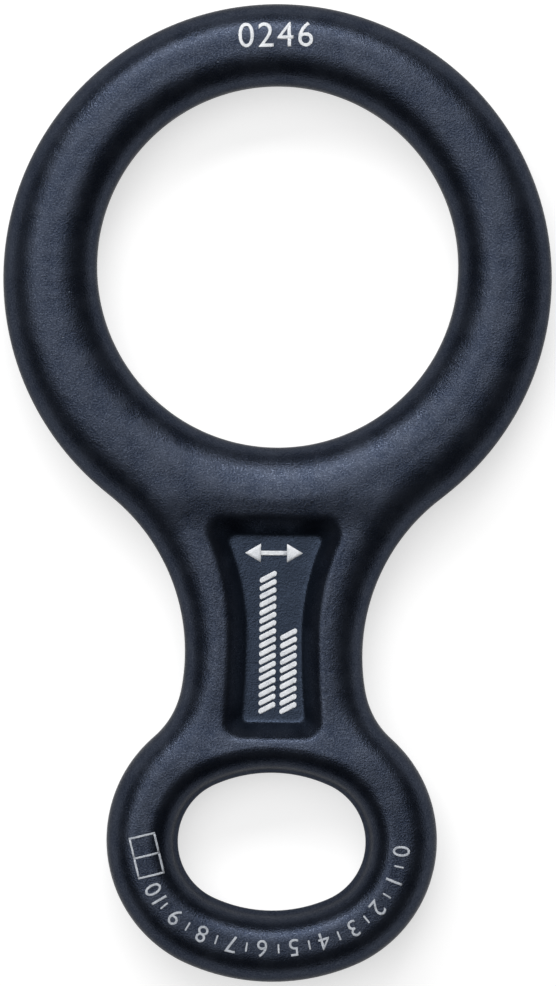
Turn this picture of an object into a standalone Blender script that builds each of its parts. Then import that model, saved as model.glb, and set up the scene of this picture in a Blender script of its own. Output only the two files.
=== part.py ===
"""Figure-eight rope descender: one hot-forged, anodised aluminium body.

The forging is mirrored in two planes: left to right, and in the parting plane where the two dies met.
One quarter of it, the upper right, is lofted from rows of points, and a Mirror modifier makes the rest.
It lies flat: +Y runs from the carabiner eye to the rope ring, and +Z is up out of its front face.
"""

import math

import bmesh
import bpy
from mathutils import Vector

MM = 0.001
NAME = "forged_body"

# Driving dimensions of the outline.
RING_RADIUS = 38.0 * MM
HOLE_RADIUS = 25.0 * MM
HOLE_RISE = 1.6 * MM  # the rope hole sits high in its ring, so the ring is strongest at the neck
CENTRES = 77.75 * MM  # rope ring's centre to eye's centre
SHOULDER_RADIUS = 27.5 * MM
NECK_RADIUS = 11.2 * MM
NECK_HALF_WIDTH = 12.3 * MM
EYE_RING_HALF_WIDTH = 22.9 * MM
EYE_RING_DROP = 19.65 * MM  # eye ring's centre to its lowest point
EYE_RING_SIDE_RADIUS = 18.8 * MM
EYE_HALF_WIDTH = 12.9 * MM
EYE_HALF_HEIGHT = 9.45 * MM
EYE_SIDE_RADIUS = 8.5 * MM
EYE_SINK = 0.25 * MM  # the eye sits this much lower than its ring's centre

# Driving dimensions of the section.
THICKNESS = 12.0 * MM
NECK_THICKNESS = 10.8 * MM
RING_LEVEL = 29.5 * MM  # the ring keeps its thickness this far below its centre
RING_SLOPE = 5.5 * MM  # and thins to the neck's over this length
EYE_LEVEL = 10.0 * MM  # the eye ring keeps its thickness this far above its centre
EYE_SLOPE = 8.0 * MM
LAND = 0.5 * MM  # half the height of the upright band left where the flash was trimmed off
EYE_LEDGE = 0.7 * MM  # width of the step left around the eye where its web was punched out
EYE_LEDGE_RISE = 0.3 * MM
CREST_FLAT = 2.0 * MM  # flat along the top of each ring
RAIL_WIDTH = 4.9 * MM  # neck outline to the top of the rail
ROPE_LIP = 7.2 * MM  # rope hole to its crest, at the neck
EYE_LIP = 3.9 * MM  # eye to its crest, at the neck

# Driving dimensions of the recess, one in each face of the neck.
RECESS_TOP = 32.5 * MM  # below the rope ring's centre
RECESS_LENGTH = 31.7 * MM
RECESS_WAIST_HALF_WIDTH = 6.8 * MM
RECESS_WAIST_DROP = 16.7 * MM  # recess's top edge to its narrowest place
RECESS_UPPER_RADIUS = 30.0 * MM  # its sides curve in to the waist
RECESS_LOWER_RADIUS = 130.0 * MM  # and hardly out again below it
RECESS_CORNER_RADIUS = 2.6 * MM
FLOOR_CORNER_RADIUS = 0.7 * MM
FLOOR_THICKNESS = 5.2 * MM
WALL_ANGLE = math.radians(52)
BRIM_FILLET = 1.4 * MM  # rounds the wall into the neck's face
FLOOR_FILLET = 0.9 * MM

# How finely the surface is cut, in faces.
RING_FACES = 22
SHOULDER_FACES = 6
NECK_FACES = 10
HEEL_FACES = 3
EYE_FACES = 15
ROPE_END_FACES = 5
EYE_END_FACES = 4
CREST_FACES = 3
FLANK_FACES = 6
SHELF_FACES = 2
FILLET_FACES = 3

# Where the crest of each ring splits into the rails and the lip beside the recess, as shares.
SHOULDER_SPLIT = 0.30  # along the neck's outline, from the rope ring to the eye ring
HEEL_SPLIT = 0.90
ROPE_LIP_SPLIT = 0.50  # along the rope hole, from the shoulder to the middle of the neck
EYE_LIP_SPLIT = 0.60  # along the eye, from the middle of the neck to the heel

# Places that follow from the dimensions. The outline's length is centred on the origin.
LENGTH = RING_RADIUS + CENTRES + EYE_RING_DROP
RING_CENTRE = Vector((0, LENGTH / 2 - RING_RADIUS))
HOLE_CENTRE = RING_CENTRE + Vector((0, HOLE_RISE))
EYE_RING_CENTRE = RING_CENTRE - Vector((0, CENTRES))
EYE_CENTRE = EYE_RING_CENTRE - Vector((0, EYE_SINK))
DOWN = math.radians(-90)
UP = math.radians(90)


def direction(angle):
    return Vector((math.cos(angle), math.sin(angle)))


def angle_of(vector):
    return math.atan2(vector.y, vector.x)


def ease(share):
    """Smooth step from 0 to 1."""
    share = min(max(share, 0), 1)
    return share * share * (3 - 2 * share)


def evenly(start, end, faces):
    """The faces + 1 values from start to end."""
    return [start + (end - start) * step / faces for step in range(faces + 1)]


def arc(centre, radius, start, end, faces):
    return [centre + radius * direction(angle) for angle in evenly(start, end, faces)]


def straight(start, end, faces):
    return [start.lerp(end, share) for share in evenly(0, 1, faces)]


def chain(*stretches):
    """Stretches that meet end to end, as one line of points with no point twice."""
    line = list(stretches[0])
    for stretch in stretches[1:]:
        line += stretch[1:]
    return line


def oval_end_centre(half_width, half_height, side_radius):
    """How far past an oval's centre the arc that closes its end is centred."""
    across = half_width - side_radius
    along = half_height - side_radius
    return (across**2 - along**2) / (2 * along)


def oval_point(centre, half_width, half_height, side_radius, angle):
    """The point where an oval of four tangent arcs faces along angle, on its right half."""
    across = half_width - side_radius
    reach = oval_end_centre(half_width, half_height, side_radius)
    if abs(angle) <= math.atan2(reach, across):
        return centre + Vector((across, 0)) + side_radius * direction(angle)
    end_centre = centre - Vector((0, math.copysign(reach, angle)))
    return end_centre + (half_height + reach) * direction(angle)


def eye_ring_point(angle):
    return oval_point(EYE_RING_CENTRE, EYE_RING_HALF_WIDTH, EYE_RING_DROP, EYE_RING_SIDE_RADIUS, angle)


def eye_point(angle):
    return oval_point(EYE_CENTRE, EYE_HALF_WIDTH, EYE_HALF_HEIGHT, EYE_SIDE_RADIUS, angle)


def circles_meet(centre_a, radius_a, centre_b, radius_b):
    """The meeting point of two circles that lies left of the way from a to b."""
    between = centre_b - centre_a
    along = (radius_a**2 - radius_b**2 + between.length_squared) / (2 * between.length)
    aside = math.sqrt(radius_a**2 - along**2)
    way = between.normalized()
    return centre_a + along * way + aside * Vector((-way.y, way.x))


def shoulder_centre():
    """The shoulder arc touches the rope ring, and the neck's half width is its nearest point to the axis."""
    across = NECK_HALF_WIDTH + SHOULDER_RADIUS
    drop = math.sqrt((RING_RADIUS + SHOULDER_RADIUS) ** 2 - across**2)
    return RING_CENTRE + Vector((across, -drop))


SHOULDER_CENTRE = shoulder_centre()
SIDE_CENTRE = EYE_RING_CENTRE + Vector((EYE_RING_HALF_WIDTH - EYE_RING_SIDE_RADIUS, 0))
NECK_CENTRE = circles_meet(
    SIDE_CENTRE, NECK_RADIUS + EYE_RING_SIDE_RADIUS, SHOULDER_CENTRE, SHOULDER_RADIUS - NECK_RADIUS
)
RING_LEAVES = angle_of(SHOULDER_CENTRE - RING_CENTRE)  # where the outline leaves the rope ring
NECK_BEGINS = angle_of(NECK_CENTRE - SHOULDER_CENTRE) % math.tau  # where the shoulder gives way
EYE_BEGINS = angle_of(NECK_CENTRE - SIDE_CENTRE)  # where the outline reaches the eye ring


def height(place):
    """Half thickness of the crest at a point: full on both rings, and less along the neck."""
    ring, neck = THICKNESS / 2, NECK_THICKNESS / 2
    below_ring = ease((RING_CENTRE.y - RING_LEVEL - place.y) / RING_SLOPE)
    above_eye = ease((place.y - EYE_RING_CENTRE.y - EYE_LEVEL) / EYE_SLOPE)
    return ring + (neck - ring) * min(below_ring, above_eye)


def solid(line, level):
    """Points of the plane lifted to a height, which may depend on the place."""
    return [Vector((p.x, p.y, level(p) if callable(level) else level)) for p in line]


def ring_lines():
    """The rope ring's outline, both edges of its crest flat and its hole, from the top to the neck."""
    outline, outer, inner, hole = [], [], [], []
    for angle in evenly(UP, RING_LEAVES, RING_FACES):
        way = direction(angle)
        reach = HOLE_RISE * way.y + math.sqrt(HOLE_RADIUS**2 - (HOLE_RISE * way.x) ** 2)
        middle = (RING_RADIUS + reach) / 2
        outline.append(RING_CENTRE + RING_RADIUS * way)
        outer.append(RING_CENTRE + (middle + CREST_FLAT / 2) * way)
        inner.append(RING_CENTRE + (middle - CREST_FLAT / 2) * way)
        hole.append(RING_CENTRE + reach * way)
    return outline, outer, inner, hole


def eye_ring_lines():
    """The same four lines of the eye ring, from the neck to the bottom."""
    outline, outer, inner, hole = [], [], [], []
    for angle in evenly(EYE_BEGINS, DOWN, EYE_FACES):
        outside, inside = eye_ring_point(angle), eye_point(angle)
        middle = (outside + inside) / 2
        half_flat = (inside - outside).normalized() * CREST_FLAT / 2
        outline.append(outside)
        outer.append(middle - half_flat)
        inner.append(middle + half_flat)
        hole.append(inside)
    return outline, outer, inner, hole


def neck_place(share):
    """The point of the neck's outline at a share of its length, and the direction into the material."""
    shoulder_turn = NECK_BEGINS - RING_LEAVES - math.pi
    neck_turn = EYE_BEGINS + math.pi - NECK_BEGINS
    shoulder_length = shoulder_turn * SHOULDER_RADIUS
    run = share * (shoulder_length + neck_turn * NECK_RADIUS)
    if run < shoulder_length:
        inwards = direction(RING_LEAVES + math.pi + run / SHOULDER_RADIUS)
        return SHOULDER_CENTRE + SHOULDER_RADIUS * inwards, inwards
    inwards = direction(NECK_BEGINS + (run - shoulder_length) / NECK_RADIUS)
    return NECK_CENTRE + NECK_RADIUS * inwards, inwards


def offset_from(share, crest_point):
    """How far a crest point lies inwards from the neck's outline, and along it."""
    place, inwards = neck_place(share)
    gap = crest_point - place
    return Vector((gap.dot(inwards), gap.cross(inwards)))


def neck_lines(ring_crest, eye_crest):
    """The neck's outline and the top of its rail, which runs into the outer crest of each ring."""
    leaving_offset, arriving_offset = offset_from(0, ring_crest), offset_from(1, eye_crest)
    outline, rail = [], []
    shares = chain(
        evenly(0, SHOULDER_SPLIT, SHOULDER_FACES),
        evenly(SHOULDER_SPLIT, HEEL_SPLIT, NECK_FACES),
        evenly(HEEL_SPLIT, 1, HEEL_FACES),
    )
    for share in shares:
        place, inwards = neck_place(share)
        leaving = 1 - ease(share / 0.55)
        arriving = ease((share - 0.55) / 0.45)
        offset = Vector((RAIL_WIDTH, 0)) * (1 - leaving - arriving)
        offset += leaving_offset * leaving + arriving_offset * arriving
        outline.append(place)
        rail.append(place + offset.x * inwards + offset.y * Vector((inwards.y, -inwards.x)))
    return outline, rail


def rope_lip_lines(start):
    """The crest and the hole's edge where the neck joins the rope ring, from the shoulder to the middle."""
    crest, hole = [], []
    start_angle = angle_of(start - HOLE_CENTRE)
    start_lip = (start - HOLE_CENTRE).length - HOLE_RADIUS
    shares = chain(
        evenly(0, ROPE_LIP_SPLIT, SHOULDER_FACES),
        evenly(ROPE_LIP_SPLIT, 1, ROPE_END_FACES),
    )
    for share in shares:
        way = direction(start_angle + (DOWN - start_angle) * share)
        lip = start_lip + (ROPE_LIP - start_lip) * ease(share)
        crest.append(HOLE_CENTRE + (HOLE_RADIUS + lip) * way)
        hole.append(HOLE_CENTRE + HOLE_RADIUS * way)
    return crest, hole


def eye_lip_lines(end, end_edge):
    """The crest and the eye's edge where the neck joins the eye ring, from the middle to the heel."""
    crest, edge = [], []
    end_lip = (end - end_edge).length
    lean = angle_of(end - end_edge) - EYE_BEGINS
    shares = chain(
        evenly(0, EYE_LIP_SPLIT, EYE_END_FACES),
        evenly(EYE_LIP_SPLIT, 1, HEEL_FACES),
    )
    for share in shares:
        angle = UP + (EYE_BEGINS - UP) * share
        lip = EYE_LIP + (end_lip - EYE_LIP) * ease(share)
        edge.append(eye_point(angle))
        crest.append(edge[-1] + lip * direction(angle + lean * ease(share)))
    return crest, edge


def recess_line(inset, corner_radius):
    """The right half of the recess's outline, moved in by inset, from the top's middle to the bottom's."""
    top = RING_CENTRE.y - RECESS_TOP - inset
    bottom = RING_CENTRE.y - RECESS_TOP - RECESS_LENGTH + inset
    waist = RING_CENTRE.y - RECESS_TOP - RECESS_WAIST_DROP
    sides, corners, turns = [], [], []
    for radius, level in (
        (RECESS_UPPER_RADIUS, top - corner_radius),
        (RECESS_LOWER_RADIUS, bottom + corner_radius),
    ):
        centre = Vector((RECESS_WAIST_HALF_WIDTH + radius, waist))
        reach = math.sqrt((radius + inset + corner_radius) ** 2 - (level - waist) ** 2)
        corners.append(Vector((centre.x - reach, level)))
        sides.append((centre, radius + inset))
        turns.append(angle_of(corners[-1] - centre) % math.tau)
    return chain(
        straight(Vector((0, top)), Vector((corners[0].x, top)), ROPE_END_FACES),
        arc(corners[0], corner_radius, UP, turns[0] - math.pi, CREST_FACES),
        arc(*sides[0], turns[0], math.pi, NECK_FACES // 2),
        arc(*sides[1], math.pi, turns[1], NECK_FACES - NECK_FACES // 2),
        arc(corners[1], corner_radius, turns[1] - math.pi, DOWN, CREST_FACES),
        straight(Vector((corners[1].x, bottom)), Vector((0, bottom)), EYE_END_FACES),
    )


def wall_profile():
    """The recess wall in section, as (inset, depth): the brim's fillet, a slope and the floor's fillet."""
    depth = (NECK_THICKNESS - FLOOR_THICKNESS) / 2
    drop = (BRIM_FILLET + FLOOR_FILLET) * (1 - math.cos(WALL_ANGLE))
    slope = (depth - drop) / math.tan(WALL_ANGLE)
    width = slope + (BRIM_FILLET + FLOOR_FILLET) * math.sin(WALL_ANGLE)
    brim, floor = [], []
    for turn in evenly(0, WALL_ANGLE, FILLET_FACES):
        across, down = math.sin(turn), 1 - math.cos(turn)
        brim.append((BRIM_FILLET * across, BRIM_FILLET * down))
        floor.append((width - FLOOR_FILLET * across, depth - FLOOR_FILLET * down))
    return brim + floor[::-1]


def flank(edge, crest):
    """Rows that start up an edge's land and round over to the crest beside it."""
    rows = []
    for turn in evenly(0, UP, FLANK_FACES):
        line = [p.lerp(q, 1 - math.cos(turn)) for p, q in zip(edge, crest)]
        levels = [LAND + (height(q) - LAND) * math.sin(turn) for q in crest]
        rows.append([Vector((p.x, p.y, z)) for p, z in zip(line, levels)])
    return [solid(edge, 0)] + rows


def stepped_flank(edge, crest):
    """The eye's flank, which starts from the step around its edge."""
    step = [p + (q - p).normalized() * EYE_LEDGE for p, q in zip(edge, crest)]
    rows = flank(step, crest)[1:]
    for row in rows:
        for point in row:
            point.z += EYE_LEDGE_RISE * (1 - point.z / height(point.xy))
    return [solid(edge, 0), solid(edge, LAND)] + rows


def shelf(start, end, faces):
    """Rows across the flat stretch between two lines, both at the crest's height."""
    return [
        solid([p.lerp(q, share) for p, q in zip(start, end)], height) for share in evenly(0, 1, faces)
    ]


def recess_rows():
    """Rows from the recess's brim down its wall to the edge of its floor."""
    profile = wall_profile()
    width, depth = profile[-1]
    rows = []
    for inset, drop in profile:
        radius = RECESS_CORNER_RADIUS + (FLOOR_CORNER_RADIUS - RECESS_CORNER_RADIUS) * inset / width
        row = solid(recess_line(inset, radius), height)
        for point in row:
            point.z -= (point.z - FLOOR_THICKNESS / 2) * drop / depth
        rows.append(row)
    return rows


def skin(mesh, rows):
    """Faces between neighbouring rows, which run clockwise, and the outermost is the first."""
    made = [[mesh.verts.new(point) for point in row] for row in rows]
    for outer, inner in zip(made, made[1:]):
        for step in range(len(outer) - 1):
            mesh.faces.new((outer[step], inner[step], inner[step + 1], outer[step + 1]))
    return made


def quarter():
    """The upper right quarter of the forging, with its parting plane at z = 0."""
    ring_outline, ring_outer, ring_inner, ring_hole = ring_lines()
    eye_outline, eye_outer, eye_inner, eye_hole = eye_ring_lines()
    neck_outline, rail = neck_lines(ring_outer[-1], eye_outer[0])
    rope_crest, rope_edge = rope_lip_lines(ring_inner[-1])
    eye_crest, eye_edge = eye_lip_lines(eye_inner[0], eye_hole[0])
    shoulder, heel = SHOULDER_FACES, SHOULDER_FACES + NECK_FACES

    mesh = bmesh.new()
    outline = chain(ring_outline, neck_outline, eye_outline)
    skin(mesh, flank(outline, chain(ring_outer, rail, eye_outer)))
    skin(mesh, flank(chain(ring_hole, rope_edge), chain(ring_inner, rope_crest))[::-1])
    skin(mesh, stepped_flank(chain(eye_edge, eye_hole), chain(eye_crest, eye_inner))[::-1])

    rope_side = (chain(ring_outer, rail[: shoulder + 1]), chain(ring_inner, rope_crest[: shoulder + 1]))
    eye_side = (chain(rail[heel:], eye_outer), chain(eye_crest[EYE_END_FACES:], eye_inner))
    skin(mesh, shelf(*rope_side, CREST_FACES))
    skin(mesh, shelf(*eye_side, CREST_FACES))

    wall = recess_rows()
    around_recess = chain(
        rope_crest[: shoulder - 1 : -1],
        straight(rope_crest[shoulder], rail[shoulder], CREST_FACES),
        rail[shoulder : heel + 1],
        straight(rail[heel], eye_crest[EYE_END_FACES], CREST_FACES),
        eye_crest[EYE_END_FACES::-1],
    )
    skin(mesh, shelf(around_recess, [p.xy for p in wall[0]], SHELF_FACES))
    floor_edge = skin(mesh, wall)[-1]
    mesh.faces.new(floor_edge[::-1])
    bmesh.ops.remove_doubles(mesh, verts=mesh.verts, dist=0.001 * MM)
    return mesh


def anodised_aluminium():
    material = bpy.data.materials.new("anodised_aluminium")
    material.use_nodes = True
    shader = material.node_tree.nodes["Principled BSDF"]
    shader.inputs["Base Color"].default_value = (0.040, 0.047, 0.070, 1)
    shader.inputs["Metallic"].default_value = 0.8
    shader.inputs["Roughness"].default_value = 0.45
    material.diffuse_color = (0.040, 0.047, 0.070, 1)
    return material


def forged_body():
    """The whole forging, lying flat with its lowest faces at z = 0."""
    mesh = bpy.data.meshes.new(NAME)
    shape = quarter()
    shape.to_mesh(mesh)
    shape.free()
    body = bpy.data.objects.new(NAME, mesh)
    bpy.context.scene.collection.objects.link(body)
    body.location.z = THICKNESS / 2
    mesh.materials.append(anodised_aluminium())
    mirror = body.modifiers.new("Mirror", "MIRROR")
    mirror.use_axis = (True, False, True)
    mirror.merge_threshold = 0.01 * MM
    mesh.shade_smooth()
    mesh.set_sharp_from_angle(angle=math.radians(40))
    return body


def main():
    for leftover in list(bpy.data.objects):
        bpy.data.objects.remove(leftover)
    forged_body()


main()
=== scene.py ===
"""Looks of a forged figure-eight rope descender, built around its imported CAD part.

The object is one forging: a rope ring, a waisted neck with a recess in each face, and an eye ring. It lies
flat with its front face up (+Z) and its rope ring towards +Y. The forging is lofted again here at full
fineness and stands for the CAD node. Plain marks, pale where a laser has bleached the dye, lie on its front.
"""

import logging
import math
from dataclasses import dataclass, field
from enum import Enum
from typing import Callable, Iterable, Sequence

import bmesh
import bpy
from mathutils import Matrix, Vector


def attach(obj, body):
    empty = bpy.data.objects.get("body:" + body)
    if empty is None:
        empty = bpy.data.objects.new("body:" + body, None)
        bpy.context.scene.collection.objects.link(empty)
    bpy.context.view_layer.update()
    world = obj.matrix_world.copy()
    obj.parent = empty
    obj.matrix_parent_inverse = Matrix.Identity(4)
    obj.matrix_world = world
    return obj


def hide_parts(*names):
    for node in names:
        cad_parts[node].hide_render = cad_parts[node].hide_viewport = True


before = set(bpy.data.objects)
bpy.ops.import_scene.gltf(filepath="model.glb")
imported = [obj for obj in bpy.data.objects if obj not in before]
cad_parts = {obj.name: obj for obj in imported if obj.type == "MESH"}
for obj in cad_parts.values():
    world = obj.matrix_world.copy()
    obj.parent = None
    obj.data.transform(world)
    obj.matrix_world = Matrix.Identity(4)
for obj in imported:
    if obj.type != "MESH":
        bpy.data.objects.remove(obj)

MM = 0.001
NODE = "forged_body"
BODY = "root"
FRAME_HEIGHT = 986
SHOWN_PER_ROW = 0.1385 * MM
DOWN = math.radians(-90)
UP = math.radians(90)

Colour = tuple[float, float, float]
Row = list["PlanPoint"]
Line = list[Vector]
Socket = bpy.types.NodeSocket
Inputs = dict[str | int, object] | None

log = logging.getLogger("descender")


class Kind(Enum):
    """The two kinds of node tree that are built here."""

    GEOMETRY = "GeometryNodeTree"
    SHADER = "ShaderNodeTree"


class Tree:
    """A node tree being built, with a short call for each thing that the trees here need."""

    def __init__(self, name: str, kind: Kind) -> None:
        """Starts an empty group.

        Args:
            name: The group's name.
            kind: Whether it makes geometry or is part of a material.
        """
        self.group = bpy.data.node_groups.new(name, kind.value)
        self.source = self.group.nodes.new("NodeGroupInput")
        self.sink = self.group.nodes.new("NodeGroupOutput")
        self.kind = kind

    def takes(self, name: str, socket: str, default: object = None) -> Socket:
        """Adds a named input.

        Args:
            name: The input's name.
            socket: Its type, without the word NodeSocket.
            default: Its value where nothing sets it.

        Returns:
            The socket that gives the input's value inside the tree.
        """
        item = self.group.interface.new_socket(name, in_out="INPUT", socket_type="NodeSocket" + socket)
        if default is not None:
            item.default_value = default
        return self.source.outputs[name]

    def gives(self, name: str, socket: str, value: Socket) -> None:
        """Adds a named output.

        Args:
            name: The output's name.
            socket: Its type, without the word NodeSocket.
            value: The socket whose value it gives out.
        """
        self.group.interface.new_socket(name, in_out="OUTPUT", socket_type="NodeSocket" + socket)
        self.group.links.new(value, self.sink.inputs[name])

    def node(self, kind: str, inputs: Inputs = None, **settings: object) -> bpy.types.Node:
        """Adds a node.

        Args:
            kind: The node's type, given in full.
            inputs: Values or sockets for its inputs, by name or place.
            **settings: The node's own properties.

        Returns:
            The node.
        """
        made = self.group.nodes.new(kind)
        for key, value in settings.items():
            setattr(made, key, value)
        for key, value in (inputs or {}).items():
            self.feed(made.inputs[key], value)
        return made

    def feed(self, target: Socket, value: object) -> None:
        """Links a socket, or sets a plain value.

        Args:
            target: The input socket.
            value: A socket to link from, or the value to set.
        """
        if isinstance(value, bpy.types.NodeSocket):
            self.group.links.new(value, target)
        else:
            target.default_value = value

    def math(self, operation: str, *values: object, clamp: bool = False) -> Socket:
        """Adds a Math node.

        Args:
            operation: What it works out.
            *values: Its operands, as numbers or sockets.
            clamp: Whether the result is kept between 0 and 1.

        Returns:
            The result.
        """
        made = self.node("ShaderNodeMath", dict(enumerate(values)), operation=operation, use_clamp=clamp)
        return made.outputs[0]

    def vector(self, operation: str, *values: object) -> Socket:
        """Adds a Vector Math node and returns its vector.

        Args:
            operation: What it works out.
            *values: Its operands, as vectors or sockets.

        Returns:
            The result.
        """
        return self.node("ShaderNodeVectorMath", dict(enumerate(values)), operation=operation).outputs[0]

    def split(self, vector: Socket) -> tuple[Socket, Socket, Socket]:
        """Returns the X, Y and Z of a vector socket."""
        parts = self.node("ShaderNodeSeparateXYZ", {0: vector}).outputs
        return parts[0], parts[1], parts[2]

    def join(self, x: object, y: object, z: object) -> Socket:
        """Returns a vector socket made of three values."""
        return self.node("ShaderNodeCombineXYZ", {0: x, 1: y, 2: z}).outputs[0]

    def ramp(
        self, value: Socket, low: object, high: object, start: object = 0.0, end: object = 1.0
    ) -> Socket:
        """Maps a value smoothly, level outside its range.

        Args:
            value: What is mapped.
            low: Where the rise begins.
            high: Where the rise ends.
            start: The result at and before low.
            end: The result at and past high.

        Returns:
            The mapped value.
        """
        made = self.node("ShaderNodeMapRange", interpolation_type="SMOOTHSTEP")
        names = ("Value", "From Min", "From Max", "To Min", "To Max")
        for key, given in zip(names, (value, low, high, start, end)):
            self.feed(made.inputs[key], given)
        return made.outputs["Result"]

    def attribute(self, name: str, data_type: str = "FLOAT") -> Socket:
        """Returns a point attribute of the geometry that the tree works on."""
        made = self.node("GeometryNodeInputNamedAttribute", {"Name": name}, data_type=data_type)
        return made.outputs["Attribute"]

    def geometry(self, kind: str, start: Socket, inputs: Inputs = None, **settings: object) -> Socket:
        """Adds a node that changes a geometry.

        Args:
            kind: The node's type, without the word GeometryNode.
            start: The geometry that goes in at the node's first socket.
            inputs: Values or sockets for its other inputs.
            **settings: The node's own properties.

        Returns:
            The changed geometry.
        """
        made = self.node("GeometryNode" + kind, inputs, **settings)
        self.feed(made.inputs[0], start)
        return made.outputs[0]

    def merge_geometry(self, *parts: Socket) -> Socket:
        """Returns several geometries as one.

        Args:
            *parts: The geometries.

        Returns:
            The joined geometry.
        """
        made = self.node("GeometryNodeJoinGeometry")
        for part in parts:
            self.group.links.new(part, made.inputs[0])
        return made.outputs[0]


def run_tree(
    tree: Tree, name: str, mesh: bpy.types.Mesh, values: dict[str, object], material: bpy.types.Material
) -> bpy.types.Object:
    """Runs a geometry tree on a mesh and keeps the result as a plain mesh.

    Args:
        tree: The tree.
        name: The finished object's name.
        mesh: What the tree starts from.
        values: The tree's inputs, by name.
        material: The finish, which the tree sets, given in the one slot of the result.

    Returns:
        An object at the origin with no modifier on it.
    """
    blank = bpy.data.objects.new(name + ".plan", mesh)
    bpy.context.scene.collection.objects.link(blank)
    modifier = blank.modifiers.new(tree.group.name, "NODES")
    modifier.node_group = tree.group
    for item in tree.group.interface.items_tree:
        if item.in_out == "INPUT" and item.name in values:
            modifier[item.identifier] = values[item.name]
    bpy.context.view_layer.update()
    evaluated = blank.evaluated_get(bpy.context.evaluated_depsgraph_get())
    made = bpy.data.meshes.new_from_object(evaluated)
    bpy.data.objects.remove(blank)
    made.name = name
    made.materials.clear()
    made.materials.append(material)
    tidy = bmesh.new()
    tidy.from_mesh(made)
    bmesh.ops.remove_doubles(tidy, verts=tidy.verts, dist=0.0005 * MM)
    bmesh.ops.recalc_face_normals(tidy, faces=tidy.faces)
    for face in tidy.faces:
        face.material_index = 0
        face.smooth = True
    tidy.to_mesh(made)
    tidy.free()
    finished = bpy.data.objects.new(name, made)
    bpy.context.scene.collection.objects.link(finished)
    return finished


def direction(angle: float) -> Vector:
    """Returns the unit vector at an angle from +X."""
    return Vector((math.cos(angle), math.sin(angle)))


def angle_of(vector: Vector) -> float:
    """Returns a plane vector's angle from +X."""
    return math.atan2(vector.y, vector.x)


def ease(share: float) -> float:
    """Returns the smooth step of a share from 0 to 1."""
    share = min(max(share, 0.0), 1.0)
    return share * share * (3 - 2 * share)


def evenly(start: float, end: float, faces: int) -> list[float]:
    """Returns the faces + 1 values from start to end."""
    return [start + (end - start) * step / faces for step in range(faces + 1)]


def arc(centre: Vector, radius: float, start: float, end: float, faces: int) -> Line:
    """Returns points along an arc.

    Args:
        centre: The arc's centre.
        radius: Its radius.
        start: The angle it starts at.
        end: The angle it ends at.
        faces: How many faces it is cut into.

    Returns:
        The points, from start to end.
    """
    return [centre + radius * direction(angle) for angle in evenly(start, end, faces)]


def straight(start: Vector, end: Vector, faces: int) -> Line:
    """Returns points along a straight line from start to end."""
    return [start.lerp(end, share) for share in evenly(0, 1, faces)]


def chain(*stretches: Sequence) -> list:
    """Returns stretches that meet end to end as one list, with nothing twice.

    Args:
        *stretches: The stretches, each starting where the last one ends.

    Returns:
        One list.
    """
    line = list(stretches[0])
    for stretch in stretches[1:]:
        line += stretch[1:]
    return line


def circles_meet(centre_a: Vector, radius_a: float, centre_b: Vector, radius_b: float) -> Vector:
    """Finds where two circles meet.

    Args:
        centre_a: The first circle's centre.
        radius_a: Its radius.
        centre_b: The second circle's centre.
        radius_b: Its radius.

    Returns:
        The meeting point that lies left of the way from a to b.
    """
    between = centre_b - centre_a
    along = (radius_a**2 - radius_b**2 + between.length_squared) / (2 * between.length)
    aside = math.sqrt(radius_a**2 - along**2)
    way = between.normalized()
    return centre_a + along * way + aside * Vector((-way.y, way.x))


@dataclass(frozen=True)
class Oval:
    """An oval of four tangent arcs, wider than it is high."""

    centre: Vector
    half_width: float
    half_height: float
    side_radius: float

    @property
    def reach(self) -> float:
        """How far past the oval's centre the arc that closes an end is centred."""
        across = self.half_width - self.side_radius
        along = self.half_height - self.side_radius
        return (across**2 - along**2) / (2 * along)

    def point(self, angle: float) -> Vector:
        """Returns the point of the right half where the oval faces along an angle.

        Args:
            angle: The direction that the oval faces there, from straight down to straight up.

        Returns:
            The point.
        """
        across = self.half_width - self.side_radius
        if abs(angle) <= math.atan2(self.reach, across):
            return self.centre + Vector((across, 0)) + self.side_radius * direction(angle)
        end_centre = self.centre - Vector((0, math.copysign(self.reach, angle)))
        return end_centre + (self.half_height + self.reach) * direction(angle)


@dataclass(frozen=True)
class PlanPoint:
    """A point of the forging's plan, with what raises it into the solid.

    Attributes:
        edge: The point of the parting line that it climbs from.
        crest: The point of the crest that it climbs to, the same as edge on level ground.
        turn: How far round the flank it is, from 0 at the land to a quarter turn at the crest.
        land: 0 on the parting plane, 1 from the top of the trimmed land upwards.
        ledge: How much the step around the eye lifts it.
        sink: Its share of the recess's depth.
    """

    edge: Vector
    crest: Vector
    turn: float = UP
    land: float = 1.0
    ledge: float = 0.0
    sink: float = 0.0


@dataclass(frozen=True)
class Fineness:
    """Into how many faces each stretch of a quarter of the forging is cut."""

    ring: int = 92
    shoulder: int = 24
    neck: int = 44
    heel: int = 12
    eye: int = 64
    rope_end: int = 22
    eye_end: int = 16
    crest: int = 10
    flank: int = 15
    shelf: int = 8
    fillet: int = 6


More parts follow.
